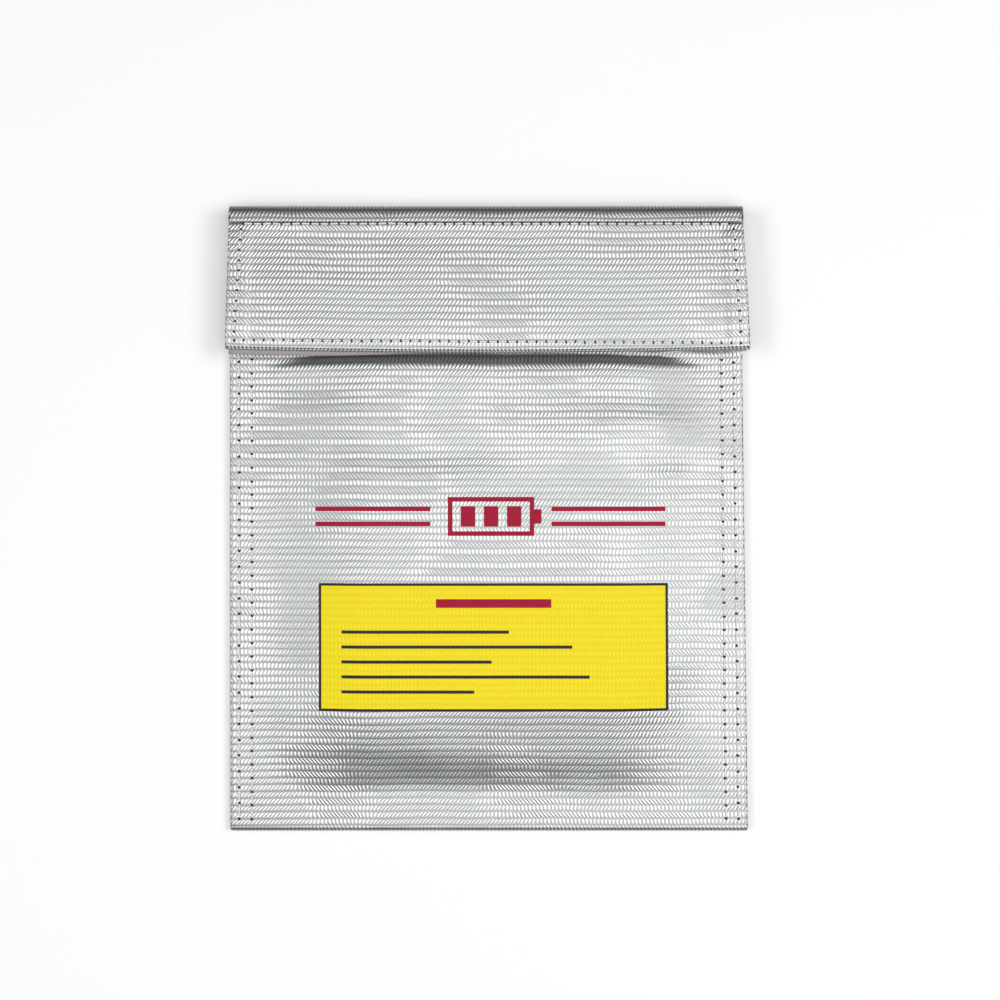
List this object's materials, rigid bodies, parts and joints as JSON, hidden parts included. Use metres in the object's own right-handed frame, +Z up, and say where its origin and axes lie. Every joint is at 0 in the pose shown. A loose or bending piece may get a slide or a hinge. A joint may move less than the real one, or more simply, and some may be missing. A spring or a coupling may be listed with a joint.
{
  "type": "battery safety bag",
  "caption": "Flat sewn pouch of coated cloth for a battery pack, with a folded bottom and a flap that closes over its mouth with hook-and-loop tape.",
  "frame": {"origin": "centre of the face that the bag lies on", "axes": "+X across the bag towards its right side seam as seen from the front, +Y from the bottom fold towards the flap's fold, +Z up, out of the printed front"},
  "size_m": [0.18, 0.218, 0.0127],
  "materials": {
    "coated_cloth": "ribbed fibreglass cloth with a satin aluminium coating",
    "lining_cloth": "plain woven fibreglass, matt warm grey",
    "thread": "twisted sewing thread, pale grey",
    "loop_tape": "soft loop pile",
    "hook_tape": "moulded nylon hooks",
    "yellow_ink": "satin printed ink",
    "black_ink": "satin printed ink",
    "red_ink": "satin printed ink"
  },
  "bodies": {
    "pouch": {"back_panel": "coated_cloth", "front_panel": "coated_cloth", "bottom_fold": "coated_cloth", "back_lining": "lining_cloth", "front_lining": "lining_cloth", "left_side_hem": "coated_cloth", "right_side_hem": "coated_cloth", "mouth_hem": "coated_cloth", "mouth_stitches": "thread", "left_outer_stitches": "thread", "left_inner_stitches": "thread", "right_outer_stitches": "thread", "right_inner_stitches": "thread", "left_back_stitches": "thread", "right_back_stitches": "thread", "loop_tape": "loop_tape", "loop_tape_stitches": "thread", "print_field": "yellow_ink", "print_border": "black_ink", "print_heading": "red_ink", "print_lines": "black_ink", "print_mark": "red_ink", "top_fold": "coated_cloth", "top_fold_lining": "lining_cloth"},
    "flap": {"flap_outer": "coated_cloth", "flap_lining": "lining_cloth", "flap_left_hem": "coated_cloth", "flap_right_hem": "coated_cloth", "flap_front_hem": "coated_cloth", "flap_top_stitches": "thread", "flap_left_stitches": "thread", "flap_right_stitches": "thread", "flap_front_stitches": "thread", "flap_back_stitches": "thread", "hook_tape": "hook_tape", "hook_tape_stitches": "thread"}
  },
  "joints": [
    {"name": "flap_hinge", "type": "hinge", "parent": "pouch", "child": "flap", "pos_m": [0, 0.1087, 0.0061], "axis": [-1, 0, 0], "range_deg": [0, 178], "deforming": ["top_fold", "top_fold_lining"]}
  ]
}
